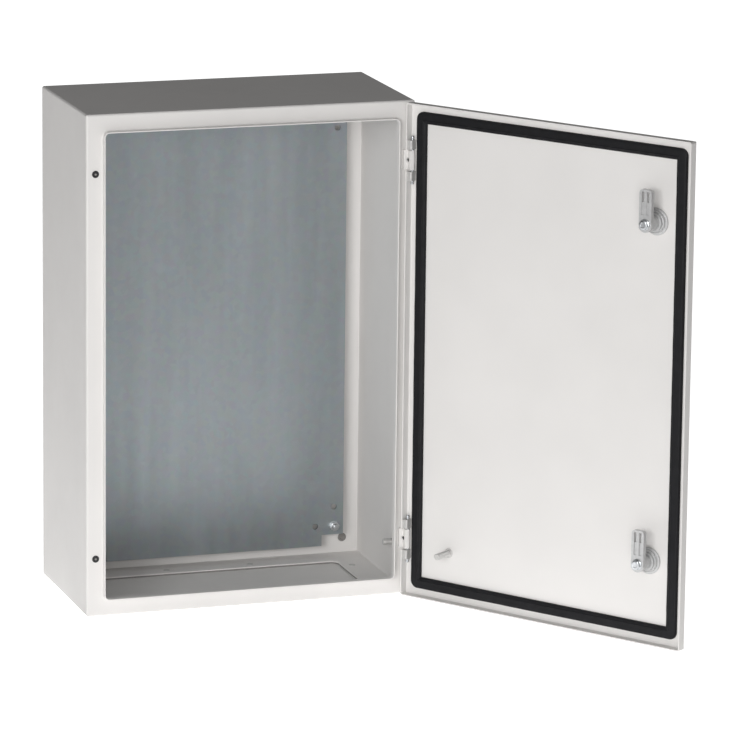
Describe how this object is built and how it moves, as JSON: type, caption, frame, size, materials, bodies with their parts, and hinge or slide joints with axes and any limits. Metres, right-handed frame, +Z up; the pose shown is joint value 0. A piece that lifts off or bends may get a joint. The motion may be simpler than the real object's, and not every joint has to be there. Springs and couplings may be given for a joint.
{
  "type": "steel wall enclosure",
  "caption": "Wall-mounted sheet-steel enclosure with a hinged full-overlay door, foam gasket, quarter-turn cam locks, zinc mounting plate and bottom gland plate.",
  "frame": {"origin": "centre of the four wall-fixing holes, on the rear face of the enclosure", "axes": "+X to the hinge side, -Y out of the door opening to the front (+Y into the wall), +Z up"},
  "size_m": [0.6262, 0.5332, 0.6059],
  "materials": {
    "body_paint": "light grey textured powder coat",
    "door_paint": "light grey textured powder coat",
    "block_paint": "light grey powder coat",
    "zinc_plate": "galvanised, satin, fine speckle",
    "zinc_hardware": "bright zinc plated",
    "zinc_cast": "cast, zinc plated",
    "pin_steel": "turned steel",
    "lock_cast": "die-cast, satin nickel plated",
    "foam_gasket": "matt foamed polyurethane",
    "black_plastic": "matt moulded plastic"
  },
  "bodies": {
    "enclosure": {"body_shell": "body_paint", "rear_panel": "body_paint", "mounting_plate": "zinc_plate", "plate_studs": "zinc_hardware", "plate_washers": "zinc_hardware", "plate_nuts": "zinc_hardware", "gland_plate": "body_paint", "gland_gasket": "foam_gasket", "gland_screws": "zinc_hardware", "gland_nuts": "zinc_hardware", "hinge_hole_plugs": "black_plastic", "body_earth_stud": "zinc_hardware", "hinge_block_upper": "block_paint", "hinge_block_lower": "block_paint", "hinge_screws": "zinc_hardware", "hinge_washers": "zinc_hardware"},
    "door": {"door_panel": "door_paint", "door_gasket": "foam_gasket", "hinge_ears_upper": "zinc_cast", "hinge_ears_lower": "zinc_cast", "ear_screws": "zinc_hardware", "hinge_pin_upper": "pin_steel", "hinge_pin_lower": "pin_steel", "door_earth_stud": "zinc_hardware", "lock_housing_upper": "lock_cast", "lock_housing_lower": "lock_cast", "lock_seals": "foam_gasket", "lock_nuts": "lock_cast"},
    "lock_upper": {"spindle_upper": "lock_cast", "cam_upper": "lock_cast", "cam_screw_upper": "zinc_hardware"},
    "lock_lower": {"spindle_lower": "lock_cast", "cam_lower": "lock_cast", "cam_screw_lower": "zinc_hardware"}
  },
  "joints": [
    {"name": "door_swing", "type": "hinge", "parent": "enclosure", "child": "door", "pos_m": [0.1943, -0.2092, 0], "axis": [0, 0, 1], "range_deg": [-125.6, 4.4]},
    {"name": "upper_lock_turn", "type": "hinge", "parent": "door", "child": "lock_upper", "pos_m": [0.39624, -0.4856, 0.2], "axis": [0.8131, 0.5821, 0], "range_deg": [0, 90]},
    {"name": "lower_lock_turn", "type": "hinge", "parent": "door", "child": "lock_lower", "pos_m": [0.39624, -0.4856, -0.2], "axis": [0.8131, 0.5821, 0], "range_deg": [0, 90]}
  ]
}
